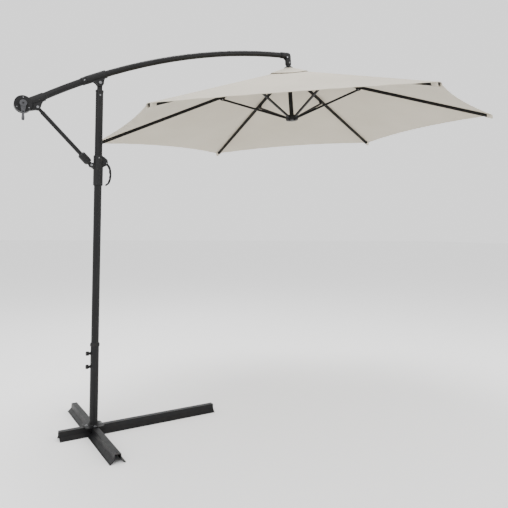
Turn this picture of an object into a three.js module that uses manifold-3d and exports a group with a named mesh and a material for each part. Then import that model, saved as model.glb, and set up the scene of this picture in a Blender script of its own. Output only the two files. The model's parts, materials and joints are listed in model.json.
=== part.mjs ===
// Cantilever parasol, millimetres, +Z up, +X from the mast towards the canopy.
// Origin: on the floor, on the mast's axis.
import * as THREE from "three";
import { mergeVertices } from "three/addons/utils/BufferGeometryUtils.js";
import Module from "manifold-3d";

const wasm = await Module();
wasm.setup();

const RAD = Math.PI / 180;
const GAP = 0.3;

// Base cross and foot tube
const BASE_TURN = 4.66 * RAD;
const LEG_BACK = -202;
const LEG_FRONT = 811;
const CROSS_HALF = 512;
const LEG_TOP = 52;
const HALVING = 26;
const PLATE = 112;
const PLATE_TOP = 56.3;
const FOOT_R = 25.5;
const FOOT_TOP = 540;
const SCREW_HEIGHTS = [497, 416];

// Mast and tilt linkage
const MAST_R = 23;
const MAST_TOP = 2122;
export const PIVOT_A = [0, 0, 2180];
export const PIVOT_B = [-352, 0, 1984];
export const PIVOT_C = [-42, 0, 1662];
const SLIDER_LOW = 1537;
const SLIDER_HIGH = 1724;
const SLEEVE_R = 29;
export const LEVER = [49, 0, 1678];

// Arm, on one arc in the XZ plane
const ARC_X = 1616.2;
const ARC_Z = -1160;
const ARC_R = 3752;
const ARM_REAR_X = -352;
const ARM_SPLIT_X = -25;
const ARM_END_X = 1308;
const REAR_R = 21;
const FRONT_R = 20;

// Crank
export const CRANK = [-431, 0, 1992];
const HOUSING_R = 49;
const HOUSING_HALF = 24;
const DRUM_R = 16;
export const GRIP_PIVOT = [-431, -41.5, 1938];

// Canopy, in its own frame: origin at the elbow bolt, local Z up its axis
export const ELBOW = [1353, 0, 2542];
export const CANOPY_TILT = -5.27 * RAD;
export const RIB_ANGLES = [-30, 30, 90, 150, 210, 270];
export const SLOPE = Math.atan2(444, 1500);
export const CROWN_R = 36;
export const CROWN_Z = -79 - CROWN_R * Math.tan(SLOPE);
const RIB_LENGTH = 1514;
const RIB_W = 14;
const RIB_H = 20;
export const BRACE_AT = 500;
export const BRACE_DROP = 20;
export const RUNNER_R = 36;
export const RUNNER_Z = -425;
const BRACE_W = 12;
const BRACE_H = 14;
const TUBE_R = 16;
const CANOPY_R = 1500;
const HEM_CONCAVE = 62;
const CLOTH = 1.6;
const CLOTH_LIFT = 12.4;
const CAP_R = 250;
const ROPE_R = 2.5;
export const PULLEY_R = 14;

const group = new THREE.Group();
group.name = "cantilever_parasol";

// Geometry to a manifold solid, faces out.
function solid(geometry) {
  const g = geometry.index ? geometry.toNonIndexed() : geometry.clone();
  g.deleteAttribute("normal");
  g.deleteAttribute("uv");
  const m = mergeVertices(g, 1e-4);
  const tri = new Uint32Array(m.index.array);
  const props = new Float32Array(m.attributes.position.array);
  const build = () =>
    new wasm.Manifold(new wasm.Mesh({ numProp: 3, vertProperties: props, triVerts: tri }));
  let s = build();
  if (s.volume() < 0) {
    for (let i = 0; i < tri.length; i += 3) {
      [tri[i + 1], tri[i + 2]] = [tri[i + 2], tri[i + 1]];
    }
    s = build();
  }
  return s;
}

function unite(...parts) {
  return parts.reduce((a, b) => a.add(b));
}

function cut(first, ...tools) {
  return tools.reduce((a, b) => a.subtract(b), first);
}

function put(name, s, color, roughness = 0.5, metalness = 0.2) {
  const m = s.getMesh();
  const n = m.numProp;
  const v = new Float32Array(m.numVert * 3);
  for (let i = 0; i < m.numVert; i++) {
    v.set(m.vertProperties.subarray(i * n, i * n + 3), i * 3);
  }
  const g = new THREE.BufferGeometry();
  g.setAttribute("position", new THREE.BufferAttribute(v, 3));
  g.setIndex(new THREE.BufferAttribute(m.triVerts, 1));
  g.computeVertexNormals();
  const mesh = new THREE.Mesh(g, new THREE.MeshStandardMaterial({ color, roughness, metalness }));
  mesh.name = name;
  group.add(mesh);
}

const moved = (g, x, y, z) => g.translate(x, y, z);
const box = (x0, x1, y0, y1, z0, z1) =>
  moved(
    new THREE.BoxGeometry(x1 - x0, y1 - y0, z1 - z0),
    (x0 + x1) / 2,
    (y0 + y1) / 2,
    (z0 + z1) / 2,
  );

// Body of revolution about Z from (radius, height) pairs that close on themselves or on the axis.
function turned(points, sides = 18) {
  const p = points.map(([r, z]) => new THREE.Vector2(r, z));
  return new THREE.LatheGeometry(p, sides).rotateX(Math.PI / 2);
}

const rod = (r, z0, z1, sides) => turned([[0, z0], [r, z0], [r, z1], [0, z1]], sides);
const tube = (r0, r1, z0, z1, sides) =>
  turned([[r0, z0], [r1, z0], [r1, z1], [r0, z1], [r0, z0]], sides);

// Rod along Y, centred on (x, z).
const rodY = (r, y0, y1, x, z, sides = 18) =>
  moved(rod(r, y0, y1, sides).rotateX(-Math.PI / 2), x, 0, z);

// Flat outline in XZ, thick from y0 to y1.
function plateXZ(outline, y0, y1) {
  const shape = new THREE.Shape(outline.map(([x, z]) => new THREE.Vector2(x, z)));
  const g = new THREE.ExtrudeGeometry(shape, { depth: y1 - y0, bevelEnabled: false });
  return g.rotateX(Math.PI / 2).translate(0, y1, 0);
}

// Bar of a given cross-section (pairs across, up) along +X from x0 to x1.
function barX(section, x0, x1) {
  const shape = new THREE.Shape(section.map(([y, z]) => new THREE.Vector2(y, z)));
  const g = new THREE.ExtrudeGeometry(shape, { depth: x1 - x0, bevelEnabled: false });
  return g.rotateX(Math.PI / 2).rotateZ(Math.PI / 2).translate(x0, 0, 0);
}

// Geometry from its own +Z to the direction of a line in the XZ plane, starting at from.
function alongXZ(g, from, to) {
  const angle = Math.atan2(to[0] - from[0], to[2] - from[2]);
  return g.rotateY(angle).translate(from[0], from[1], from[2]);
}

const arcZ = (x) => ARC_Z + Math.sqrt(ARC_R ** 2 - (x - ARC_X) ** 2);

class ArmArc extends THREE.Curve {
  constructor(x0, x1) {
    super();
    this.a0 = Math.asin((x0 - ARC_X) / ARC_R);
    this.a1 = Math.asin((x1 - ARC_X) / ARC_R);
  }
  getPoint(t, target = new THREE.Vector3()) {
    const a = this.a0 + (this.a1 - this.a0) * t;
    return target.set(ARC_X + ARC_R * Math.sin(a), 0, ARC_Z + ARC_R * Math.cos(a));
  }
}

function ring(r, sides, turn = 0) {
  const out = [];
  for (let i = 0; i < sides; i++) {
    const a = (i / sides) * 2 * Math.PI + turn;
    out.push(new THREE.Vector2(r * Math.cos(a), r * Math.sin(a)));
  }
  return out;
}

function swept(path, r1, r0, steps, sides) {
  const shape = new THREE.Shape(ring(r1, sides));
  if (r0) shape.holes.push(new THREE.Path(ring(r0, sides)));
  return new THREE.ExtrudeGeometry(shape, { steps, bevelEnabled: false, extrudePath: path });
}

const baseFrame = new THREE.Matrix4().makeRotationZ(BASE_TURN);
const canopyFrame = new THREE.Matrix4()
  .makeTranslation(...ELBOW)
  .multiply(new THREE.Matrix4().makeRotationY(CANOPY_TILT));
const inBase = (s) => s.transform(baseFrame.elements);
const inCanopy = (s) => s.transform(canopyFrame.elements);
const turn = (s, deg) => s.rotate([0, 0, deg]);

const BLACK = 0x1d1e20;
const STEEL = 0xa9abad;
const PLASTIC = 0x17181a;
const CREAM = 0xddd8c8;

function baseCross() {
  const hat = [
    [-44, 0], [-44, 2.5], [-38.5, 2.5], [-20.2, 21], [-17.5, LEG_TOP], [17.5, LEG_TOP],
    [20.2, 21], [38.5, 2.5], [44, 2.5], [44, 0], [37.4, 0], [17.6, 19.9],
    [15.2, LEG_TOP - 2.5], [-15.2, LEG_TOP - 2.5], [-17.6, 19.9], [-37.4, 0],
  ];
  const long = solid(barX(hat, LEG_BACK, LEG_FRONT));
  const notch = solid(box(-20.9, 20.9, -60, 60, HALVING, 60));
  const drain = (x) => solid(moved(rod(4, 40, 60, 10), x, 0, 0));
  put("base_long_leg", inBase(cut(long, notch, drain(LEG_BACK + 22), drain(LEG_FRONT - 22))), BLACK);
  const cross = turn(solid(barX(hat, -CROSS_HALF, CROSS_HALF)), 90);
  const under = solid(box(-60, 60, -44.5, 44.5, -5, HALVING + GAP));
  const hole = (y) => solid(moved(rod(4, 40, 60, 10), 0, y, 0));
  put("base_cross_leg", inBase(cut(cross, under, hole(22 - CROSS_HALF), hole(CROSS_HALF - 22))), BLACK);
  const core = unite(
    solid(box(-30, 30, -30, 30, 0, 3)),
    solid(box(-12, 12, -12, 12, 2, LEG_TOP - 2.5 - GAP)),
  );
  put("base_core", inBase(core), PLASTIC, 0.7, 0);
}

function footTube() {
  const h = PLATE / 2;
  const c = 14;
  const outline = [
    [-h + c, -h], [h - c, -h], [h, -h + c], [h, h - c],
    [h - c, h], [-h + c, h], [-h, h - c], [-h, -h + c],
  ];
  const plate = solid(plateXZ(outline, LEG_TOP + GAP, PLATE_TOP)).rotate([90, 0, 0]);
  const b = plate.boundingBox();
  const laid = plate.translate([0, 0, PLATE_TOP - b.max[2]]);
  put("base_plate", inBase(laid), BLACK);
  let body = solid(tube(FOOT_R - 1.9, FOOT_R, PLATE_TOP + GAP, FOOT_TOP));
  body = body.add(solid(turned([
    [FOOT_R - 1, PLATE_TOP + GAP], [FOOT_R + 5, PLATE_TOP + GAP],
    [FOOT_R - 0.2, PLATE_TOP + 6], [FOOT_R - 1, PLATE_TOP + 6], [FOOT_R - 1, PLATE_TOP + GAP],
  ])));
  for (const z of SCREW_HEIGHTS) {
    const boss = solid(moved(rod(9, 24, 33, 10).rotateY(-Math.PI / 2), 0, 0, z));
    const bore = solid(moved(rod(4.4, 20, 40, 10).rotateY(-Math.PI / 2), 0, 0, z));
    const inner = solid(rod(FOOT_R - 1.9, z - 15, z + 15));
    body = cut(body.add(boss.subtract(inner)), bore);
  }
  put("base_tube", inBase(body), BLACK);
  const collar = turned([
    [MAST_R + 0.5, FOOT_TOP + GAP], [29, FOOT_TOP + GAP], [29, FOOT_TOP + 15],
    [26, FOOT_TOP + 20], [MAST_R + 0.5, FOOT_TOP + 20], [MAST_R + 0.5, FOOT_TOP + GAP],
  ]);
  put("tube_collar", inBase(solid(collar)), PLASTIC, 0.6, 0);
}

function thumbScrews() {
  ["thumb_screw_upper", "thumb_screw_lower"].forEach((name, i) => {
    const pts = [];
    for (let k = 0; k < 20; k++) {
      const a = (k / 20) * 2 * Math.PI;
      const r = 11 + 1.6 * Math.cos(5 * a);
      pts.push(new THREE.Vector2(r * Math.cos(a), r * Math.sin(a)));
    }
    const knob = solid(new THREE.ExtrudeGeometry(new THREE.Shape(pts), {
      depth: 13, bevelEnabled: true, bevelThickness: 2, bevelSize: 1.5, bevelSegments: 1,
    }).translate(0, 0, 38));
    const shank = solid(rod(4, MAST_R + 0.4, 40, 10));
    const neck = solid(rod(7, 33.4, 40, 10));
    const s = unite(knob, shank, neck).rotate([0, -90, 0]).translate([0, 0, SCREW_HEIGHTS[i]]);
    put(name, inBase(s), PLASTIC, 0.5, 0);
  });
}

function mast() {
  const screwY = solid(rodY(3.3, -40, 40, 0, 2100, 10));
  let t = solid(tube(MAST_R - 1.5, MAST_R, PLATE_TOP + 1, MAST_TOP));
  put("mast_tube", cut(t, screwY), BLACK);
  const [ax, , az] = PIVOT_A;
  const plug = solid(rod(MAST_R - 1.9, 2060, MAST_TOP + 1));
  const flange = solid(rod(24.5, MAST_TOP + GAP, 2134));
  const tongue = unite(
    solid(box(-15, 15, -8, 8, 2130, az)),
    solid(rodY(15, -8, 8, ax, az)),
  );
  const bore = solid(rodY(5.4, -40, 40, ax, az));
  put("mast_fork", cut(unite(plug, flange, tongue), bore, screwY), PLASTIC, 0.45, 0.1);
  const screw = unite(
    solid(rodY(3, -27, 27, 0, 2100, 10)),
    solid(rodY(5.5, -27, -23.6, 0, 2100, 10)),
    solid(rodY(5.5, 23.6, 27, 0, 2100, 6)),
  );
  put("fork_screw", screw, STEEL, 0.35, 0.9);
  const bolt = unite(
    solid(rodY(5, -22, 22, ax, az)),
    solid(rodY(9, -22, -17.4, ax, az)),
    solid(rodY(9, 17.4, 22, ax, az, 6)),
  );
  put("arm_pivot_bolt", bolt, STEEL, 0.35, 0.9);
}

function slider() {
  const [cx, , cz] = PIVOT_C;
  const sleeve = solid(turned([
    [26, SLIDER_LOW], [SLEEVE_R - 1.5, SLIDER_LOW], [SLEEVE_R, SLIDER_LOW + 3],
    [SLEEVE_R, SLIDER_HIGH - 3], [SLEEVE_R - 1.5, SLIDER_HIGH], [26, SLIDER_HIGH], [26, SLIDER_LOW],
  ]));
  const inner = solid(rod(26, SLIDER_LOW - 1, SLIDER_HIGH + 1));
  const lugShape = [
    [-20, cz - 30], [cx + 2, cz - 14.5], [cx - 8, cz - 12.5], [cx - 14, cz - 5],
    [cx - 14, cz + 5], [cx - 8, cz + 12.5], [cx + 2, cz + 14.5], [-20, cz + 14.5],
  ];
  const lugs = unite(solid(plateXZ(lugShape, 8.6, 14)), solid(plateXZ(lugShape, -14, -8.6)));
  const [lx, , lz] = LEVER;
  const earShape = [
    [20, 1655], [34, 1655], [lx + 5, lz - 10], [lx + 9, lz], [lx + 5, lz + 22], [34, 1718], [20, 1718],
  ];
  const ears = unite(solid(plateXZ(earShape, 6.9, 11.5)), solid(plateXZ(earShape, -11.5, -6.9)));
  const web = solid(box(20, 36, -7.5, 7.5, 1700, 1718));
  const bores = [
    solid(rodY(5.3, -40, 40, cx, cz)),
    solid(rodY(3.3, -40, 40, lx, lz, 10)),
  ];
  put("slider_body", cut(unite(sleeve, lugs, ears, web), inner, ...bores), PLASTIC, 0.5, 0);
  const bush = (z) => solid(tube(MAST_R + 0.35, 25.7, z, z + 24));
  put("slider_bush_upper", bush(SLIDER_HIGH - 26), 0x3a3b3d, 0.6, 0);
  put("slider_bush_lower", bush(SLIDER_LOW + 2), 0x3a3b3d, 0.6, 0);
  const pin = (r, head, half, x, z) => unite(
    solid(rodY(r, -half, half, x, z, 10)),
    solid(rodY(head, -half - 3, -half + 0.1, x, z, 10)),
    solid(rodY(head, half - 0.1, half + 3, x, z, 10)),
  );
  put("lever_pin", pin(3, 5, 11.9, lx, lz), STEEL, 0.35, 0.9);
  put("strut_lower_pin", pin(5, 8, 14.4, cx, cz), STEEL, 0.35, 0.9);
}

// Bent grip: its outer and inner edges, with four finger grooves on the mast's side.
function lever() {
  const [lx, , lz] = LEVER;
  const path = new THREE.CatmullRomCurve3([
    new THREE.Vector3(lx, 0, lz), new THREE.Vector3(66, 0, 1656), new THREE.Vector3(74, 0, 1620),
    new THREE.Vector3(73, 0, 1585), new THREE.Vector3(64, 0, 1556), new THREE.Vector3(49, 0, 1542),
  ]);
  const outer = [];
  const inner = [];
  const n = 22;
  for (let i = 0; i <= n; i++) {
    const t = i / n;
    const p = path.getPoint(t);
    const d = path.getTangent(t);
    const wave = t > 0.2 && t < 0.9 ? 1.3 * Math.cos((t - 0.2) * 36) : 0;
    const half = 6.5 - 1.5 * t;
    outer.push([p.x - d.z * half, p.z + d.x * half]);
    inner.push([p.x + d.z * (half + wave), p.z - d.x * (half + wave)]);
  }
  const grip = solid(plateXZ([...outer, ...inner.reverse()], -6.4, 6.4));
  const eye = solid(rodY(8.5, -6.4, 6.4, lx, lz));
  const toe = solid(rodY(5, -6.4, 6.4, 49, 1542, 10));
  const bore = solid(rodY(3.3, -20, 20, lx, lz, 10));
  put("handle_lever", cut(unite(grip, eye, toe), bore), PLASTIC, 0.45, 0);
}

function strut() {
  const length = Math.hypot(PIVOT_B[0] - PIVOT_C[0], PIVOT_B[2] - PIVOT_C[2]);
  const place = (s) => {
    const angle = Math.atan2(PIVOT_B[0] - PIVOT_C[0], PIVOT_B[2] - PIVOT_C[2]);
    return s.rotate([0, angle / RAD, 0]).translate(PIVOT_C);
  };
  put("strut_tube", place(solid(tube(10.5, 12.5, 50, length - 45))), BLACK);
  const socket = solid(turned([
    [0, 20], [19, 20], [24, 30], [24, 82], [19, 91], [12.9, 91], [12.9, 49], [0, 49],
  ]));
  const tongue = unite(solid(box(-12, 12, -8, 8, 0, 24)), solid(rodY(12, -8, 8, 0, 0)));
  put("strut_socket", place(cut(unite(socket, tongue), solid(rodY(5.3, -20, 20, 0, 0)))), PLASTIC, 0.5, 0);
  const top = unite(
    solid(rod(10.1, length - 55, length - 25)),
    solid(rod(13.5, length - 44.7, length - 37)),
    solid(box(-9, 9, -7, 7, length - 38, length)),
    solid(rodY(9, -7, 7, 0, length)),
  );
  put("strut_top_end", place(cut(top, solid(rodY(4.5, -20, 20, 0, length, 10)))), PLASTIC, 0.5, 0);
}

function armTubes() {
  put("arm_front_tube", solid(swept(new ArmArc(ARM_SPLIT_X, ARM_END_X), FRONT_R, FRONT_R - 1.6, 13, 16)), BLACK);
  put("arm_rear_tube", solid(swept(new ArmArc(ARM_REAR_X, ARM_SPLIT_X - 0.5), REAR_R, REAR_R - 1.7, 4, 16)), BLACK);
  const [ax, , az] = PIVOT_A;
  const from = [-80, 0, arcZ(-80) + 0.2];
  const to = [36, 0, arcZ(36) + 0.2];
  const span = Math.hypot(to[0] - from[0], to[2] - from[2]);
  const sleeve = solid(alongXZ(rod(25.5, 0, span, 20), from, to));
  const keep = solid(alongXZ(rod(REAR_R + 0.8, -20, span + 20, 20), from, to));
  const cheek = [
    [-58, 2188], [-34, 2180], [-22, 2172], [-17, 2164], [-8, 2158.6], [8, 2158.6], [17, 2164],
    [22, 2174], [25, 2196], [33, 2222], [20, 2236], [-40, 2206],
  ];
  const cheeks = unite(solid(plateXZ(cheek, 8.6, 17)), solid(plateXZ(cheek, -17, -8.6)));
  const bore = solid(rodY(5.4, -40, 40, ax, az));
  put("arm_bracket", cut(unite(sleeve, cheeks), keep, bore), PLASTIC, 0.45, 0.1);
  const collar = solid(swept(new ArmArc(-106, -81), 24.4, REAR_R + 0.9, 2, 16));
  put("arm_collar", collar, PLASTIC, 0.45, 0.1);
}

function crankHousing() {
  const [kx, , kz] = CRANK;
  const [bx, , bz] = PIVOT_B;
  const drum = solid(rodY(HOUSING_R, -HOUSING_HALF, HOUSING_HALF, kx, kz, 28));
  const end = [-345, 0, arcZ(-345)];
  const neck = solid(alongXZ(rod(25.5, 36, 128), CRANK, end));
  const lug = [
    [bx + 3, bz - 17], [bx + 12, bz - 12], [bx + 17, bz], [bx + 22, bz + 20], [bx + 34, bz + 48],
    [bx - 20, bz + 48], [kx + 20, kz + 10], [kx + 30, kz - 34], [bx - 8, bz - 16],
  ];
  const lugs = unite(solid(plateXZ(lug, 8.6, 14.5)), solid(plateXZ(lug, -14.5, -8.6)));
  const cavity = solid(rodY(HOUSING_R - 3.4, -HOUSING_HALF - 1, HOUSING_HALF - 3.4, kx, kz, 28));
  const bore = solid(swept(new ArmArc(-362, -290), REAR_R + 0.9, 0, 2, 16));
  const passage = solid(alongXZ(rod(17, 10, 110), CRANK, end));
  const slot = unite(
    solid(rodY(24, -8.6, 8.6, bx, bz)),
    solid(plateXZ([[bx - 21, bz], [bx + 60, bz - 60], [bx + 70, bz - 20], [bx + 15, bz + 15]], -8.6, 8.6)),
  );
  const pinBore = solid(rodY(5.4, -30, 30, bx, bz, 10));
  const coverSeat = solid(rodY(HOUSING_R + 0.5, -40, -HOUSING_HALF, kx, kz, 28));
  put(
    "crank_housing",
    cut(unite(drum, neck, lugs), cavity, bore, passage, slot, pinBore, coverSeat),
    PLASTIC, 0.5, 0,
  );
  const cover = unite(
    solid(rodY(HOUSING_R, -29, -24.3, kx, kz, 28)),
    solid(rodY(12, -32, -28, kx, kz)),
  );
  put("crank_cover", cut(cover, solid(rodY(5.4, -60, 0, kx, kz))), PLASTIC, 0.5, 0);
  const pin = unite(
    solid(rodY(5, -17.6, -9, bx, bz, 10)),
    solid(rodY(8, -18.6, -14.8, bx, bz, 10)),
  );
  put("strut_upper_pin", pin, STEEL, 0.35, 0.9);
}

function crank() {
  const [kx, , kz] = CRANK;
  const drum = turned([
    [0, -20], [5, -20], [5, -16], [30, -16], [30, -13.5], [DRUM_R, -12], [DRUM_R, 12],
    [30, 13.5], [30, 16], [5, 16], [5, 47], [0, 47],
  ]).rotateX(Math.PI / 2).translate(kx, 0, kz);
  put("rope_drum", solid(drum), 0x4a4b4d, 0.5, 0.3);
  const [gx, gy, gz] = GRIP_PIVOT;
  const arm = [
    [kx - 17, kz], [kx - 9.5, gz + 6], [kx - 9.5, gz - 2], [kx + 9.5, gz - 2],
    [kx + 9.5, gz + 6], [kx + 17, kz],
  ];
  const hub = solid(rodY(20, -48, -33, kx, kz, 28));
  const bore = solid(rodY(5.3, -60, -20, kx, kz));
  const blade = solid(plateXZ(arm, -46, -37));
  const fork = solid(box(gx - 5.3, gx + 5.3, -60, 0, gz - 12, gz + 9));
  const ears = solid(plateXZ([
    [gx - 9.5, gz + 2], [gx - 9.5, gz - 4], [gx - 7, gz - 7], [gx + 7, gz - 7],
    [gx + 9.5, gz - 4], [gx + 9.5, gz + 2],
  ], -46, -37));
  put("crank_handle", cut(unite(hub, blade, ears), bore, fork), 0x55565a, 0.45, 0.5);
  const grip = turned([
    [0, -47], [5.5, -46], [8.2, -42], [8.5, -30], [7, -14], [6.6, -9], [0, -9],
  ], 20).translate(gx, gy, gz);
  const eye = solid(moved(rod(4.2, -5, 5, 10).rotateY(Math.PI / 2), gx, gy, gz));
  const stem = solid(box(gx - 5, gx + 5, gy - 4, gy + 4, gz - 12, gz));
  put("crank_grip", unite(solid(grip), eye, stem), 0x6a6b6e, 0.5, 0.3);
}

function ropes() {
  const [kx, , kz] = CRANK;
  const pts = [
    new THREE.Vector3(kx - 9.6, 0, kz + 16.2),
    new THREE.Vector3(-380, 0, 2031),
  ];
  for (let x = -300; x <= 1250; x += 155) {
    pts.push(new THREE.Vector3(x, 0, arcZ(x)));
  }
  pts.push(new THREE.Vector3(1306, 0, arcZ(1306)));
  const path = new THREE.CatmullRomCurve3(pts);
  put("rope_in_arm", solid(swept(path, ROPE_R, 0, 24, 6)), 0x24272b, 0.9, 0);
  put("rope_drop", inCanopy(solid(rod(ROPE_R, RUNNER_Z + 22, 12, 8))), 0x24272b, 0.9, 0);
}

// Right-angled fitting with a pulley in its corner, worked in the canopy's frame.
const CORNER_UP = 41;
export const PULLEY_LOCAL = [-PULLEY_R - ROPE_R - 0.4, 0, CORNER_UP - PULLEY_R - ROPE_R - 2];

function elbow() {
  const corner = new THREE.Vector3(0, 0, CORNER_UP).applyMatrix4(canopyFrame);
  const start = [1290, 0, arcZ(1290)];
  const along = [corner.x, 0, corner.z];
  const run = Math.hypot(along[0] - start[0], along[2] - start[2]);
  const ball = solid(new THREE.SphereGeometry(23, 16, 8));
  const outer = unite(
    solid(alongXZ(rod(23.5, 0, run), start, along)),
    ball.translate([corner.x, 0, corner.z]),
    inCanopy(solid(turned([[0, -28], [22, -28], [23, -26], [23, CORNER_UP], [0, CORNER_UP]]))),
  );
  const socket = solid(swept(new ArmArc(1280, 1320), FRONT_R + 0.9, 0, 2, 16));
  const ropeWay = solid(alongXZ(rod(8, 10, run - 6), start, along));
  const [px, , pz] = PULLEY_LOCAL;
  const room = inCanopy(solid(rodY(PULLEY_R + 6, -7, 7, px, pz)));
  const down = inCanopy(solid(rod(8, -40, CORNER_UP - 8)));
  const seat = inCanopy(solid(rod(19.4, -40, -6)));
  const axle = inCanopy(solid(rodY(3.3, -40, 40, px, pz, 10)));
  const bolt = inCanopy(solid(rodY(3.3, -40, 40, 0, -16, 10)));
  put("elbow", cut(outer, socket, ropeWay, room, down, seat, axle, bolt), PLASTIC, 0.45, 0.1);
  const wheel = turned([
    [3.4, -5], [17, -5], [17, -3.6], [PULLEY_R, -2.4], [PULLEY_R, 2.4], [17, 3.6], [17, 5],
    [3.4, 5], [3.4, -5],
  ]).rotateX(Math.PI / 2).translate(px, 0, pz);
  put("rope_pulley", inCanopy(solid(wheel)), 0xb9bbbd, 0.5, 0.2);
  const pin = unite(
    solid(rodY(3, -25, 25, px, pz, 10)),
    solid(rodY(5.5, -27, -23.4, px, pz, 10)),
    solid(rodY(5.5, 23.4, 27, px, pz, 10)),
  );
  put("pulley_pin", inCanopy(pin), STEEL, 0.35, 0.9);
  const stub = turned([
    [12, -64], [12, -7], [19, -7], [19, -64], [12, -64],
  ]);
  const stubBolt = solid(rodY(3.3, -40, 40, 0, -16, 10));
  put("head_stub", inCanopy(cut(solid(stub), stubBolt)), PLASTIC, 0.45, 0.1);
}

function crown() {
  let body = solid(turned([
    [TUBE_R + GAP, -104], [44, -104], [48, -100], [48, -72], [40, -65], [TUBE_R + GAP, -65],
    [TUBE_R + GAP, -104],
  ], 24));
  for (const a of RIB_ANGLES) {
    body = body.subtract(turn(solid(box(24, 70, -7.5, 7.5, -120, -76)), a));
  }
  put("crown", inCanopy(body), PLASTIC, 0.5, 0);
  put("centre_tube", inCanopy(solid(tube(TUBE_R - 1.6, TUBE_R, -402, -64.4))), BLACK);
  const cap = turned([
    [19.4, -48.8], [33, -52.4], [33, -49], [25, -42], [19.4, -42], [19.4, -48.8],
  ]);
  put("vent_ring", inCanopy(solid(cap)), PLASTIC, 0.5, 0);
}

function runner() {
  let body = solid(turned([
    [0, -447], [30, -447], [44, -443], [47, -436], [47, -412], [42, -406], [20, -403.2], [0, -403.2],
  ], 24));
  for (const a of RIB_ANGLES) {
    body = body.subtract(turn(solid(box(25, 70, -6.5, 6.5, -460, -390)), a));
  }
  put("runner_hub", inCanopy(body), PLASTIC, 0.5, 0);
}

// One rib in its own frame: s along +X from the hinge, then sloped and turned into place.
function ribSolid() {
  const h = RIB_H / 2;
  const w = RIB_W / 2;
  const channel = [
    [-w, -h], [-w, h], [w, h], [w, -h], [w - 1.5, -h], [w - 1.5, h - 1.5],
    [1.5 - w, h - 1.5], [1.5 - w, -h],
  ];
  const bar = solid(barX(channel, 0, RIB_LENGTH));
  const end = unite(solid(rodY(9, -w, w, 0, 0, 20)), solid(box(0, 26, -w, w, -h, h)));
  const ear = [
    [BRACE_AT - 24, -h + 1], [BRACE_AT - 9, -BRACE_DROP - 5], [BRACE_AT, -BRACE_DROP - 8],
    [BRACE_AT + 9, -BRACE_DROP - 5], [BRACE_AT + 24, -h + 1],
  ];
  const ears = unite(solid(plateXZ(ear, 6.5, 9)), solid(plateXZ(ear, -9, -6.5)));
  const tip = solid(box(RIB_LENGTH - 30, RIB_LENGTH, -w, w, -h, h));
  return unite(bar, end, ears, tip);
}

function braceSolid(length) {
  const h = BRACE_H / 2;
  const w = BRACE_W / 2;
  return unite(
    solid(box(0, length, -w, w, -h, h)),
    solid(rodY(h, -w, w, 0, 0, 10)),
    solid(rodY(h, -w, w, length, 0, 10)),
  );
}

// Where the brace meets its rib, and the brace's length, in (radius, height) of the canopy's frame.
export function bracePoints() {
  const r = CROWN_R + BRACE_AT * Math.cos(SLOPE) - BRACE_DROP * Math.sin(SLOPE);
  const z = CROWN_Z - BRACE_AT * Math.sin(SLOPE) - BRACE_DROP * Math.cos(SLOPE);
  return { r, z, length: Math.hypot(r - RUNNER_R, z - RUNNER_Z) };
}

function ribsAndBraces() {
  const rib = ribSolid().rotate([0, SLOPE / RAD, 0]).translate([CROWN_R, 0, CROWN_Z]);
  const { r, z, length } = bracePoints();
  const rise = Math.atan2(z - RUNNER_Z, r - RUNNER_R);
  const brace = braceSolid(length).rotate([0, -rise / RAD, 0]).translate([RUNNER_R, 0, RUNNER_Z]);
  RIB_ANGLES.forEach((a, i) => {
    put("rib_" + (i + 1), inCanopy(turn(rib, a)), BLACK);
    put("brace_" + (i + 1), inCanopy(turn(brace, a)), BLACK);
  });
}

const FALL = Math.tan(SLOPE) / Math.cos(30 * RAD);

// Distance from the axis to the hem at an angle psi from a rib, the hem bowing in between ribs.
function hemRadius(psi) {
  const beta = 30 * RAD - Math.abs(psi);
  const half = CANOPY_R / 2;
  const mid = CANOPY_R * Math.cos(30 * RAD) - HEM_CONCAVE;
  const k = (HEM_CONCAVE * Math.tan(beta) ** 2) / half ** 2;
  const x = k < 1e-12 ? mid : (1 - Math.sqrt(1 - 4 * k * mid)) / (2 * k);
  return x / Math.cos(beta);
}

// A sheet of cloth over plan points, closed by its edges; rows of points from the inside out.
function sheetSolid(rows, heightAt) {
  const nu = rows.length;
  const nv = rows[0].length;
  const pos = [];
  for (const side of [0, 1]) {
    for (const row of rows) {
      for (const [x, y] of row) pos.push(x, y, heightAt(x, y) + side * CLOTH);
    }
  }
  const idx = [];
  const at = (s, i, j) => s * nu * nv + i * nv + j;
  for (let i = 0; i < nu - 1; i++) {
    for (let j = 0; j < nv - 1; j++) {
      const q = [[i, j], [i + 1, j], [i + 1, j + 1], [i, j + 1]];
      const up = q.map(([a, b]) => at(1, a, b));
      const dn = q.map(([a, b]) => at(0, a, b));
      idx.push(up[0], up[1], up[2], up[0], up[2], up[3]);
      idx.push(dn[0], dn[2], dn[1], dn[0], dn[3], dn[2]);
    }
  }
  const wall = (a, b) => {
    const [a0, b0, a1, b1] = [at(0, ...a), at(0, ...b), at(1, ...a), at(1, ...b)];
    idx.push(a0, b0, b1, a0, b1, a1);
  };
  for (let j = 0; j < nv - 1; j++) {
    wall([0, j + 1], [0, j]);
    wall([nu - 1, j], [nu - 1, j + 1]);
  }
  for (let i = 0; i < nu - 1; i++) {
    wall([i, 0], [i + 1, 0]);
    wall([i + 1, nv - 1], [i, nv - 1]);
  }
  const g = new THREE.BufferGeometry();
  g.setAttribute("position", new THREE.BufferAttribute(new Float32Array(pos), 3));
  g.setIndex(idx);
  return solid(g);
}

function canopyHeight(x, y) {
  const r = Math.hypot(x, y);
  const psi = Math.abs(Math.atan2(y, x));
  return -79 + CLOTH_LIFT - FALL * r * Math.cos(30 * RAD - psi);
}

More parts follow.
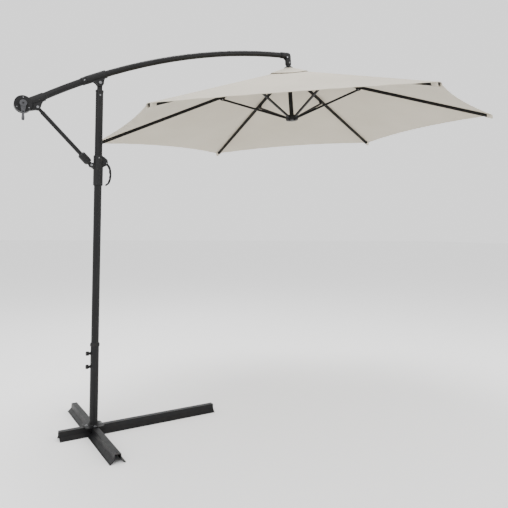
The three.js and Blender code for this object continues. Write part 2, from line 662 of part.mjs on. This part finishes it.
function canopyPanels() {
  const rows = [];
  const steps = 5;
  for (let i = 0; i <= steps; i++) {
    const row = [];
    for (let j = -2; j <= 2; j++) {
      const psi = (j / 2) * 30 * RAD;
      const r = 62 + (hemRadius(psi) - 62) * (i / steps);
      const edge = j === 2 ? -0.3 : j === -2 ? 0.3 : 0;
      row.push([r * Math.cos(psi), r * Math.sin(psi) + edge]);
    }
    rows.push(row);
  }
  const panel = sheetSolid(rows, canopyHeight);
  RIB_ANGLES.forEach((a, i) => put("canopy_panel_" + (i + 1), inCanopy(turn(panel, a)), CREAM, 0.9, 0));
}

// The small second roof over the crown, six-sided like the canopy.
function ventCap() {
  const sides = 24;
  const at = (r, k) => {
    const a = (k / sides) * 2 * Math.PI + 30 * RAD;
    const fold = ((k % 4) / 4) * 60 * RAD;
    const d = Math.cos(30 * RAD) / Math.cos(30 * RAD - fold);
    return [r * d * Math.cos(a), r * d * Math.sin(a), r * d * Math.cos(30 * RAD - fold)];
  };
  const radii = [24, 90, 170, CAP_R];
  const pos = [];
  for (const side of [0, 1]) {
    for (const r of radii) {
      for (let k = 0; k < sides; k++) {
        const [x, y, m] = at(r, k);
        const z = -52 - (m / Math.cos(30 * RAD) - 24) * 0.36;
        pos.push(x, y, z + side * CLOTH);
      }
    }
  }
  const n = radii.length;
  const id = (s, i, k) => s * n * sides + i * sides + (k % sides);
  const idx = [];
  const quad = (a, b, c, d) => idx.push(a, b, c, a, c, d);
  for (let k = 0; k < sides; k++) {
    for (let i = 0; i < n - 1; i++) {
      quad(id(1, i, k), id(1, i + 1, k), id(1, i + 1, k + 1), id(1, i, k + 1));
      quad(id(0, i, k), id(0, i, k + 1), id(0, i + 1, k + 1), id(0, i + 1, k));
    }
    quad(id(0, 0, k + 1), id(0, 0, k), id(1, 0, k), id(1, 0, k + 1));
    quad(id(0, n - 1, k), id(0, n - 1, k + 1), id(1, n - 1, k + 1), id(1, n - 1, k));
  }
  const g = new THREE.BufferGeometry();
  g.setAttribute("position", new THREE.BufferAttribute(new Float32Array(pos), 3));
  g.setIndex(idx);
  put("vent_cap", inCanopy(solid(g)), CREAM, 0.9, 0);
}

baseCross();
footTube();
thumbScrews();
mast();
slider();
lever();
strut();
armTubes();
crankHousing();
crank();
ropes();
elbow();
crown();
runner();
ribsAndBraces();
canopyPanels();
ventCap();

export default group;
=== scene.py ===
# Cantilever parasol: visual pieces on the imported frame. Metres, row frame, +Z up.
import json
import math

import bmesh
import bpy
from mathutils import Matrix, Vector


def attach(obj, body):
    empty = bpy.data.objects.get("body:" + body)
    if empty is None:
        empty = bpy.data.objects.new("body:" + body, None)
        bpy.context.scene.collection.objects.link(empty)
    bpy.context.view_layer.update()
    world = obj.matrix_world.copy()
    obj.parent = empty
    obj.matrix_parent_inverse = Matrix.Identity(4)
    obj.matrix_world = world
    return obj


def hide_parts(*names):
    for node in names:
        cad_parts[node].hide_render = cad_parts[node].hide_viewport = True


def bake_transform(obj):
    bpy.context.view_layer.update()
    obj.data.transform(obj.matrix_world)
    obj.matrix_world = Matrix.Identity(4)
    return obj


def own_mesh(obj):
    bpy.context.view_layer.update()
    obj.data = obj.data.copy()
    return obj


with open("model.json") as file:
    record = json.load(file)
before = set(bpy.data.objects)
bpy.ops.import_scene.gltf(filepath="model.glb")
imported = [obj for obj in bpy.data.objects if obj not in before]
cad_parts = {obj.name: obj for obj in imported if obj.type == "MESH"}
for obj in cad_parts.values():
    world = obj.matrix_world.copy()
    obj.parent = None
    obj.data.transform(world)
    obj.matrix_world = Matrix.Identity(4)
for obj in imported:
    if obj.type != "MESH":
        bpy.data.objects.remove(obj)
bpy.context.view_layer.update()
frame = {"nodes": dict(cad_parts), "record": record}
N = frame["nodes"]

# ---------------------------------------------------------------- dimensions
ELBOW = Vector((1.353, 0.0, 2.542))
TILT = math.radians(-5.27)
CANOPY = Matrix.Translation(ELBOW) @ Matrix.Rotation(TILT, 4, "Y")
RIB_ANGLES = [math.radians(a) for a in (-30, 30, 90, 150, 210, 270)]
HALF_SECTOR = math.radians(30)
CLOTH_THICK = 0.0011
CLOTH_INNER_R = 0.062
SLOPE = math.atan2(0.444, 1.5)
FALL = math.tan(SLOPE) / math.cos(HALF_SECTOR)
CROWN_R = 0.036
CROWN_Z = -0.079 - CROWN_R * math.tan(SLOPE)
CANOPY_R = 1.5
CLOTH_TOP_Z = -0.079
HEM_CONCAVE = 0.062
LIFT = 0.0124
BASE_TURN = math.radians(4.66)
BASE = Matrix.Rotation(BASE_TURN, 4, "Z")


# ---------------------------------------------------------------- materials
def material(name, color, roughness, metallic=0.0):
    m = bpy.data.materials.new(name)
    m.use_nodes = True
    b = m.node_tree.nodes["Principled BSDF"]
    b.inputs["Base Color"].default_value = (*color, 1)
    b.inputs["Roughness"].default_value = roughness
    b.inputs["Metallic"].default_value = metallic
    return m, m.node_tree, b


def coords(nt):
    return nt.nodes.new("ShaderNodeTexCoord").outputs["Object"]


def noise(nt, vec, scale, detail=4.0, rough=0.6):
    n = nt.nodes.new("ShaderNodeTexNoise")
    n.inputs["Scale"].default_value = scale
    n.inputs["Detail"].default_value = detail
    n.inputs["Roughness"].default_value = rough
    nt.links.new(vec, n.inputs["Vector"])
    return n.outputs["Fac"]


def ramp(nt, fac, stops):
    r = nt.nodes.new("ShaderNodeValToRGB")
    e = r.color_ramp.elements
    e[0].position, e[0].color = stops[0][0], (*stops[0][1], 1)
    e[1].position, e[1].color = stops[-1][0], (*stops[-1][1], 1)
    for p, c in stops[1:-1]:
        x = e.new(p)
        x.color = (*c, 1)
    nt.links.new(fac, r.inputs["Fac"])
    return r.outputs["Color"]


def mix_math(nt, op, a, b):
    n = nt.nodes.new("ShaderNodeMath")
    n.operation = op
    for i, v in enumerate((a, b)):
        if isinstance(v, (int, float)):
            n.inputs[i].default_value = v
        else:
            nt.links.new(v, n.inputs[i])
    return n.outputs[0]


def bump(nt, bsdf, height, strength, distance):
    b = nt.nodes.new("ShaderNodeBump")
    b.inputs["Strength"].default_value = strength
    b.inputs["Distance"].default_value = distance
    nt.links.new(height, b.inputs["Height"])
    nt.links.new(b.outputs["Normal"], bsdf.inputs["Normal"])


def powder_coat():
    m, nt, b = material("powder_black", (0.007, 0.007, 0.0075), 0.36)
    v = coords(nt)
    large = noise(nt, v, 9.0, 3.0)
    stops = [(0.3, (0.004, 0.004, 0.0044)), (0.7, (0.0065, 0.0065, 0.007))]
    nt.links.new(ramp(nt, large, stops), b.inputs["Base Color"])
    stops = [(0.3, (0.42,) * 3), (0.75, (0.52,) * 3)]
    nt.links.new(ramp(nt, noise(nt, v, 30.0), stops), b.inputs["Roughness"])
    bump(nt, b, noise(nt, v, 420.0, 2.0), 0.05, 0.0002)
    b.inputs["Specular IOR Level"].default_value = 0.22
    return m


def moulded():
    m, nt, b = material("moulded_black", (0.007, 0.007, 0.0075), 0.48)
    v = coords(nt)
    stops = [(0.3, (0.0055, 0.0055, 0.006)), (0.75, (0.01, 0.01, 0.0105))]
    nt.links.new(ramp(nt, noise(nt, v, 14.0), stops), b.inputs["Base Color"])
    stops = [(0.3, (0.42,) * 3), (0.7, (0.6,) * 3)]
    nt.links.new(ramp(nt, noise(nt, v, 45.0), stops), b.inputs["Roughness"])
    bump(nt, b, noise(nt, v, 1400.0, 3.0), 0.25, 0.0003)
    b.inputs["Specular IOR Level"].default_value = 0.22
    return m


def zinc():
    m, nt, b = material("zinc_steel", (0.36, 0.365, 0.375), 0.38, 1.0)
    v = coords(nt)
    stops = [(0.3, (0.16, 0.163, 0.17)), (0.7, (0.24, 0.243, 0.25))]
    nt.links.new(ramp(nt, noise(nt, v, 120.0), stops), b.inputs["Base Color"])
    stops = [(0.3, (0.26,) * 3), (0.7, (0.42,) * 3)]
    nt.links.new(ramp(nt, noise(nt, v, 260.0), stops), b.inputs["Roughness"])
    bump(nt, b, noise(nt, v, 700.0), 0.15, 0.0003)
    return m


def crank_grey():
    m, nt, b = material("crank_grey", (0.08, 0.08, 0.085), 0.42, 0.35)
    v = coords(nt)
    stops = [(0.3, (0.035, 0.036, 0.039)), (0.7, (0.06, 0.06, 0.066))]
    nt.links.new(ramp(nt, noise(nt, v, 25.0), stops), b.inputs["Base Color"])
    stops = [(0.3, (0.34,) * 3), (0.7, (0.5,) * 3)]
    nt.links.new(ramp(nt, noise(nt, v, 60.0), stops), b.inputs["Roughness"])
    bump(nt, b, noise(nt, v, 800.0), 0.2, 0.0003)
    return m


def cloth():
    """Woven cream polyester: weave bump, faint blotches, light coming through."""
    m, nt, b = material("canopy_cloth", (0.63, 0.59, 0.5), 0.85)
    v = coords(nt)
    colour = ramp(nt, noise(nt, v, 2.2, 5.0), [(0.3, (0.52, 0.475, 0.385)), (0.7, (0.57, 0.525, 0.435))])
    nt.links.new(colour, b.inputs["Base Color"])
    waves = []
    for axis in ("X", "Y"):
        w = nt.nodes.new("ShaderNodeTexWave")
        w.wave_type = "BANDS"
        w.bands_direction = axis
        w.inputs["Scale"].default_value = 260.0
        w.inputs["Distortion"].default_value = 0.6
        w.inputs["Detail"].default_value = 1.0
        nt.links.new(v, w.inputs["Vector"])
        waves.append(w.outputs["Fac"])
    weave = mix_math(nt, "ADD", waves[0], waves[1])
    soft = mix_math(nt, "MULTIPLY", noise(nt, v, 38.0, 3.0), 1.2)
    bump(nt, b, mix_math(nt, "ADD", weave, soft), 0.3, 0.0006)
    b.inputs["Sheen Weight"].default_value = 0.15
    b.inputs["Sheen Roughness"].default_value = 0.5
    through = nt.nodes.new("ShaderNodeBsdfTranslucent")
    nt.links.new(colour, through.inputs["Color"])
    both = nt.nodes.new("ShaderNodeMixShader")
    both.inputs["Fac"].default_value = 0.25
    out = nt.nodes["Material Output"]
    nt.links.new(b.outputs["BSDF"], both.inputs[1])
    nt.links.new(through.outputs["BSDF"], both.inputs[2])
    nt.links.new(both.outputs["Shader"], out.inputs["Surface"])
    return m


def cord():
    m, nt, b = material("rope_cord", (0.05, 0.05, 0.055), 0.85)
    v = coords(nt)
    w = nt.nodes.new("ShaderNodeTexWave")
    w.bands_direction = "DIAGONAL"
    w.inputs["Scale"].default_value = 180.0
    w.inputs["Distortion"].default_value = 2.0
    nt.links.new(v, w.inputs["Vector"])
    stops = [(0.2, (0.03, 0.03, 0.033)), (0.8, (0.09, 0.09, 0.095))]
    nt.links.new(ramp(nt, w.outputs["Fac"], stops), b.inputs["Base Color"])
    bump(nt, b, w.outputs["Fac"], 0.6, 0.0008)
    return m


def floor_material():
    return material("studio_floor", (0.93, 0.93, 0.93), 0.9)[0]


MAT = {
    "powder_black": powder_coat(),
    "moulded_black": moulded(),
    "zinc_steel": zinc(),
    "crank_grey": crank_grey(),
    "canopy_cloth": cloth(),
    "rope_cord": cord(),
}


# ---------------------------------------------------------------- mesh helpers
def mesh_object(name, verts, faces, slot, smooth=True, angle=35):
    me = bpy.data.meshes.new(name)
    me.from_pydata([tuple(v) for v in verts], [], faces)
    me.validate()
    bm = bmesh.new()
    bm.from_mesh(me)
    bmesh.ops.remove_doubles(bm, verts=bm.verts, dist=1e-6)
    bmesh.ops.recalc_face_normals(bm, faces=bm.faces)
    bm.to_mesh(me)
    bm.free()
    o = bpy.data.objects.new(name, me)
    bpy.context.scene.collection.objects.link(o)
    me.materials.append(MAT[slot])
    if smooth:
        me.shade_smooth()
        me.set_sharp_from_angle(angle=math.radians(angle))
    return o


def lathe(name, profile, place, slot, sides=48):
    """Turned about local Z from (radius, height) pairs."""
    verts, faces = [], []
    n = len(profile)
    for i in range(sides):
        a = 2 * math.pi * i / sides
        for r, z in profile:
            verts.append(place @ Vector((r * math.cos(a), r * math.sin(a), z)))
    for i in range(sides):
        j = (i + 1) % sides
        for k in range(n - 1):
            faces.append((i * n + k, j * n + k, j * n + k + 1, i * n + k + 1))
    return mesh_object(name, verts, faces, slot)


def bevel(o, width, segments=2, angle=40):
    b = o.modifiers.new("edge_rounding", "BEVEL")
    b.width = width
    b.segments = segments
    b.limit_method = "ANGLE"
    b.angle_limit = math.radians(angle)
    return o


# ---------------------------------------------------------------- CAD pieces carried
SLOTS = {s["node"]: s["material_slot"] for s in frame["record"]["subparts"]}
REPLACED = {f"canopy_panel_{k}" for k in range(1, 7)} | {"vent_cap", "rope_drop"}
BEVELS = {
    "base_long_leg": 0.0006, "base_cross_leg": 0.0006, "base_plate": 0.0012,
    "mast_fork": 0.001, "slider_body": 0.001, "handle_lever": 0.0022,
    "arm_bracket": 0.0012, "crank_housing": 0.0018, "crank_cover": 0.0018,
    "crank_handle": 0.0014, "crank_grip": 0.0008, "elbow": 0.0014, "crown": 0.0012,
    "runner_hub": 0.0012, "strut_socket": 0.0014, "strut_top_end": 0.001,
    "thumb_screw_upper": 0.0009, "thumb_screw_lower": 0.0009,
}
for name, o in N.items():
    if name in REPLACED:
        continue
    o.data.materials.clear()
    o.data.materials.append(MAT[SLOTS[name]])
    o.data.shade_smooth()
    o.data.set_sharp_from_angle(angle=math.radians(34))
    w = BEVELS.get(name)
    if w is None and (name.startswith("rib_") or name.startswith("brace_")):
        w = 0.0012
    if w:
        bevel(o, w)


# ---------------------------------------------------------------- canopy cloth
def hem_radius(psi):
    beta = HALF_SECTOR - abs(psi)
    half = CANOPY_R / 2
    mid = CANOPY_R * math.cos(HALF_SECTOR) - HEM_CONCAVE
    k = HEM_CONCAVE * math.tan(beta) ** 2 / half ** 2
    x = mid if k < 1e-12 else (1 - math.sqrt(1 - 4 * k * mid)) / (2 * k)
    return x / math.cos(beta)


def cloth_height(r, psi, hem):
    """Top of the cloth; it sinks a little between the ribs and is drawn tight at the hem."""
    share = r / hem
    across = math.sin(math.pi / 2 * abs(psi) / HALF_SECTOR)
    sag = 0.011 * across * math.sin(math.pi * min(1.0, share * 0.92))
    crease = 0.0014 * math.sin(9 * math.pi * abs(psi) / HALF_SECTOR) * share ** 3 * (1 - across * 0.6)
    return CLOTH_TOP_Z + LIFT - FALL * r * math.cos(HALF_SECTOR - abs(psi)) - sag + crease


def half_panel(k, side):
    """Half of a panel, from rib k to the middle of the panel beside it, with a turned hem."""
    a0 = RIB_ANGLES[k]
    shares = [i / 26 for i in range(26)] + [0.978, 0.982, 1.0]
    cols = 14
    turn = Matrix.Rotation(a0, 4, "Z")
    top, low = [], []
    for s in shares:
        for j in range(cols + 1):
            psi = side * HALF_SECTOR * j / cols
            hem = hem_radius(psi)
            r = CLOTH_INNER_R + (hem - CLOTH_INNER_R) * s
            z = cloth_height(r, psi, hem)
            thick = CLOTH_THICK if s < 0.98 else 0.0026
            p = Vector((r * math.cos(psi), r * math.sin(psi), z))
            extra = (thick - CLOTH_THICK) / 2
            up, down = 0.0012 + extra, 0.0012 - CLOTH_THICK - extra
            top.append(CANOPY @ turn @ (p + Vector((0, 0, up))))
            low.append(CANOPY @ turn @ (p + Vector((0, 0, down))))
    nv, nu = cols + 1, len(shares)
    verts = top + low
    off = len(top)
    faces = []
    for i in range(nu - 1):
        for j in range(nv - 1):
            q = (i * nv + j, (i + 1) * nv + j, (i + 1) * nv + j + 1, i * nv + j + 1)
            faces.append(q)
            faces.append(tuple(off + x for x in reversed(q)))
    border = [(0, j) for j in range(nv)] + [(i, nv - 1) for i in range(1, nu)]
    border += [(nu - 1, j) for j in range(nv - 2, -1, -1)] + [(i, 0) for i in range(nu - 2, 0, -1)]
    for (i, j), (m, n) in zip(border, border[1:] + border[:1]):
        faces.append((i * nv + j, m * nv + n, off + m * nv + n, off + i * nv + j))
    name = f"canopy_cloth_{k + 1}_{'a' if side > 0 else 'b'}"
    o = mesh_object(name, verts, faces, "canopy_cloth", angle=60)
    area = 0.0
    for i in range(nu - 1):
        for j in range(nv - 1):
            q = (i * nv + j, (i + 1) * nv + j, (i + 1) * nv + j + 1, i * nv + j + 1)
            a, b, c, d = (top[x] for x in q)
            area += ((b - a).cross(c - a).length + (c - a).cross(d - a).length) / 2
    return o, area


def fold_setup(o, k):
    """Gives the half panel a mesh of its own; the direction along its rib is worked out but not used."""
    a0 = RIB_ANGLES[k]
    turn = CANOPY.to_3x3() @ Matrix.Rotation(a0, 3, "Z")
    along = turn @ Vector((math.cos(SLOPE), 0, -math.sin(SLOPE)))
    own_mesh(o)


for k in range(6):
    for side in (1, -1):
        o, area = half_panel(k, side)
        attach(o, f"rib_{k + 1}")
        fold_setup(o, k)
        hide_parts(f"canopy_panel_{k + 1}")


def vent_cap():
    """Second roof over the crown: six flat sides, a turned hem that lifts a little, a pinched collar."""
    radii = [0.024, 0.03, 0.05, 0.09, 0.13, 0.17, 0.21, 0.236, 0.239, 0.25]
    sides = 72
    top, low = [], []
    for i, r in enumerate(radii):
        for k in range(sides):
            a = 2 * math.pi * k / sides + HALF_SECTOR
            fold = (k % 12) / 12 * math.radians(60) - HALF_SECTOR
            d = math.cos(HALF_SECTOR) / math.cos(fold)
            bow = 1 - 0.035 * (1 - (fold / HALF_SECTOR) ** 2) * (r / 0.25)
            m = r * d * math.cos(fold) / math.cos(HALF_SECTOR)
            z = -0.052 - (m - 0.024) * 0.36 - 0.004 * (1 - (fold / HALF_SECTOR) ** 2) * (r / 0.25)
            z += 0.0016 * math.sin(5 * a + 1.0) * (r / 0.25) ** 2
            if r < 0.05:
                z += 0.0015 * math.cos(14 * a)
            thick = CLOTH_THICK if r < 0.238 else 0.0028
            p = Vector((r * d * bow * math.cos(a), r * d * bow * math.sin(a), z))
            extra = (thick - CLOTH_THICK) / 2
            top.append(CANOPY @ (p + Vector((0, 0, 0.0016 + extra))))
            low.append(CANOPY @ (p + Vector((0, 0, 0.0005 - extra))))
    faces, off, n = [], len(top), len(radii)
    area = 0.0
    for k in range(sides):
        j = (k + 1) % sides
        for i in range(n - 1):
            q = (i * sides + k, (i + 1) * sides + k, (i + 1) * sides + j, i * sides + j)
            faces.append(q)
            faces.append(tuple(off + x for x in reversed(q)))
            a, b, c, d = (top[x] for x in q)
            area += ((b - a).cross(c - a).length + (c - a).cross(d - a).length) / 2
        faces.append((k, j, off + j, off + k))
        e = (n - 1) * sides
        faces.append((e + j, e + k, off + e + k, off + e + j))
    o = mesh_object("vent_cap_cloth", verts=top + low, faces=faces, slot="canopy_cloth", angle=60)
    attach(o, "arm")
    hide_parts("vent_cap")
    return o, area


cap, cap_area = vent_cap()


def pocket(k):
    """Stitched pocket under the corner, that the rib's end goes into."""
    turn = CANOPY @ Matrix.Rotation(RIB_ANGLES[k], 4, "Z")
    verts, faces = [], []
    steps, across = 8, 8
    for i in range(steps + 1):
        s = i / steps
        r = 1.452 + 0.045 * s
        half = 0.0195 - 0.0045 * s
        for side in (0, 1):
            for j in range(across + 1):
                u = -1 + 2 * j / across
                drop = 0.0235 * math.sqrt(max(0.0, 1 - abs(u) ** 3))
                z = CLOTH_TOP_Z + LIFT - math.tan(SLOPE) * r - drop - 0.0022 - (0.0012 if side else 0)
                verts.append(turn @ Vector((r, u * half, z)))
    row = 2 * (across + 1)
    for i in range(steps):
        for j in range(across):
            a = i * row + j
            faces.append((a, a + 1, a + row + 1, a + row))
            b = a + across + 1
            faces.append((b, b + row, b + row + 1, b + 1))
        for j in (0, across):
            a, b = i * row + j, i * row + j + across + 1
            faces.append((a, b, b + row, a + row))
    for i in (0, steps):
        for j in range(across):
            a = i * row + j
            faces.append((a, a + 1, a + across + 2, a + across + 1))
    o = mesh_object(f"corner_pocket_{k + 1}", verts, faces, "canopy_cloth", angle=60)
    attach(o, f"rib_{k + 1}")
    return o


pockets = [pocket(k) for k in range(6)]


# ---------------------------------------------------------------- rope down to the runner
def rope_drop():
    verts, faces = [], []
    n, sides = 60, 12
    for i in range(n + 1):
        z = 0.012 + (-0.4032 - 0.012) * i / n
        for k in range(sides):
            a = 2 * math.pi * k / sides
            r = 0.0025 * (1 + 0.08 * math.sin(3 * a + i * 0.9))
            verts.append(CANOPY @ Vector((r * math.cos(a), r * math.sin(a), z)))
    for i in range(n):
        for k in range(sides):
            j = (k + 1) % sides
            faces.append((i * sides + k, i * sides + j, (i + 1) * sides + j, (i + 1) * sides + k))
    faces.append(tuple(range(sides)))
    faces.append(tuple(n * sides + k for k in reversed(range(sides))))
    o = mesh_object("rope_to_runner", verts, faces, "rope_cord")
    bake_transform(o)
    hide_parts("rope_drop")


rope_drop()


# ---------------------------------------------------------------- fasteners and trim
def hex_bolt(name, place, body, r=0.0065, head=0.0045, slot="zinc_steel"):
    verts, faces = [], []
    sides = 6
    ring = [(0.0, 0.0), (r * 1.45, 0.0), (r * 1.5, 0.0006), (r * 1.45, 0.0012),
            (0.0, 0.0012)]
    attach(lathe(name + "_washer", ring, place, slot, 32), body)
    prof = [(0.0, head + 0.0012), (r * 0.8, head + 0.0012), (r, head), (r, 0.0013), (0.0, 0.0013)]
    for i in range(sides):
        a = 2 * math.pi * i / sides
        for rr, z in prof:
            verts.append(place @ Vector((rr * math.cos(a), rr * math.sin(a), z)))
    n = len(prof)
    for i in range(sides):
        j = (i + 1) % sides
        for k in range(n - 1):
            faces.append((i * n + k, j * n + k, j * n + k + 1, i * n + k + 1))
    o = mesh_object(name, verts, faces, slot, angle=25)
    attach(o, body)
    return o


for i, (x, y) in enumerate(((0.042, 0), (-0.042, 0), (0, 0.042), (0, -0.042))):
    hex_bolt(f"flange_bolt_{i + 1}", BASE @ Matrix.Translation((x, y, 0.0563)), "base")

# weld fillet round the foot of the base tube
weld_verts, weld_faces = [], []
WS = 120
for k in range(WS):
    a = 2 * math.pi * k / WS
    ripple = 1 + 0.16 * math.sin(a * 34)
    for i in range(6):
        b = math.pi / 2 * i / 5
        r = 0.0306 + 0.0042 * ripple * (1 - math.sin(b))
        z = 0.0564 + 0.0034 * ripple * (1 - math.cos(b))
        weld_verts.append(BASE @ Vector((r * math.cos(a), r * math.sin(a), z)))
    weld_verts.append(BASE @ Vector((0.0300 * math.cos(a), 0.0300 * math.sin(a), 0.0564)))
for k in range(WS):
    j = (k + 1) % WS
    for i in range(7):
        l = (i + 1) % 7
        weld_faces.append((k * 7 + i, j * 7 + i, j * 7 + l, k * 7 + l))
weld = mesh_object("foot_weld", weld_verts, weld_faces, "powder_black", angle=70)
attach(weld, "base")


def rivet(name, place, body, r=0.0045, h=0.0022, slot="zinc_steel"):
    prof = [(0.0, h), (r * 0.45, h * 0.93), (r * 0.8, h * 0.6), (r, 0.0), (0.0, 0.0)]
    o = lathe(name, prof, place, slot, 24)
    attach(o, body)
    return o


Y_OUT = Matrix.Rotation(math.radians(90), 4, "X")
rivet("collar_screw", Matrix.Translation((-0.094, -0.0247, 2.180)) @ Y_OUT, "arm")
rivet("slider_screw", Matrix.Translation((0.0, -0.0289, 1.708)) @ Y_OUT, "slider", 0.0042)
rivet("housing_screw_1", Matrix.Translation((-0.431, -0.029, 2.029)) @ Y_OUT, "arm", 0.004)
rivet("housing_screw_2", Matrix.Translation((-0.463, -0.029, 1.971)) @ Y_OUT, "arm", 0.004)
rivet("housing_screw_3", Matrix.Translation((-0.399, -0.029, 1.971)) @ Y_OUT, "arm", 0.004)
rivet("elbow_bolt_near", CANOPY @ Matrix.Translation((0, -0.0228, -0.016)) @ Y_OUT, "arm", 0.006, 0.003)
Y_IN = Matrix.Rotation(math.radians(-90), 4, "X")
rivet("elbow_bolt_far", CANOPY @ Matrix.Translation((0, 0.0228, -0.016)) @ Y_IN, "arm", 0.006, 0.003)
rivet("strut_top_far", Matrix.Translation((-0.352, 0.0146, 1.984)) @ Y_IN, "arm", 0.008, 0.0035)

for k, a in enumerate(RIB_ANGLES):
    turn = CANOPY @ Matrix.Rotation(a, 4, "Z")
    c, s = math.cos(SLOPE), math.sin(SLOPE)
    at = Vector((CROWN_R + 0.5 * c - 0.02 * s, 0, CROWN_Z - 0.5 * s - 0.02 * c))
    for side, rot in ((-1, Y_OUT), (1, Y_IN)):
        rivet(f"brace_rivet_{k + 1}_{'n' if side < 0 else 'f'}",
              turn @ Matrix.Translation((at.x, side * 0.0091, at.z)) @ rot, f"rib_{k + 1}", 0.0045, 0.0022)


# ---------------------------------------------------------------- studio
def area_light(name, loc, target, size, power, color=(1, 1, 1)):
    d = bpy.data.lights.new(name, "AREA")
    d.shape = "DISK"
    d.size = size
    d.energy = power
    d.color = color
    o = bpy.data.objects.new(name, d)
    o.location = loc
    o.rotation_euler = (Vector(target) - Vector(loc)).to_track_quat("-Z", "Y").to_euler()
    bpy.context.scene.collection.objects.link(o)
    return o


world = bpy.data.worlds.new("studio")
world.use_nodes = True
world.node_tree.nodes["Background"].inputs["Color"].default_value = (1.0, 1.0, 1.0, 1)
world.node_tree.nodes["Background"].inputs["Strength"].default_value = 1.45
bpy.context.scene.world = world

floor_mesh = bpy.data.meshes.new("floor")
F = 60.0
corners = [(x, y, -0.0005) for x, y in ((-F, -F), (F, -F), (F, F), (-F, F))]
floor_mesh.from_pydata(corners, [], [(0, 1, 2, 3)])
floor = bpy.data.objects.new("floor", floor_mesh)
bpy.context.scene.collection.objects.link(floor)
floor_mesh.materials.append(floor_material())
area_light("key", (-3.2, -4.5, 5.5), (0.9, 0, 1.6), 3.0, 260)
area_light("fill", (4.5, -4.0, 3.2), (1.2, 0, 1.9), 3.5, 130)
area_light("top", (1.6, 1.5, 6.0), (1.4, 0, 2.3), 3.0, 300)

YAW, PITCH, ROLL = math.radians(29.08), math.radians(1.19), math.radians(0.66)
f = Vector((math.sin(YAW) * math.cos(PITCH), math.cos(YAW) * math.cos(PITCH), math.sin(PITCH)))
r = Vector((math.cos(YAW), -math.sin(YAW), 0))
u = r.cross(f)
r2 = r * math.cos(ROLL) + u * math.sin(ROLL)
u2 = -r * math.sin(ROLL) + u * math.cos(ROLL)
cam_data = bpy.data.cameras.new("camera")
cam_data.sensor_width = 36
cam_data.sensor_fit = "HORIZONTAL"
cam_data.lens = 37.99
cam_data.shift_x = -0.0579
cam_data.shift_y = -0.0664
cam = bpy.data.objects.new("camera", cam_data)
bpy.context.scene.collection.objects.link(cam)
cam.matrix_world = Matrix((
    (r2.x, u2.x, -f.x, -0.610),
    (r2.y, u2.y, -f.y, -3.487),
    (r2.z, u2.z, -f.z, 1.264),
    (0, 0, 0, 1),
))
bpy.context.scene.camera = cam
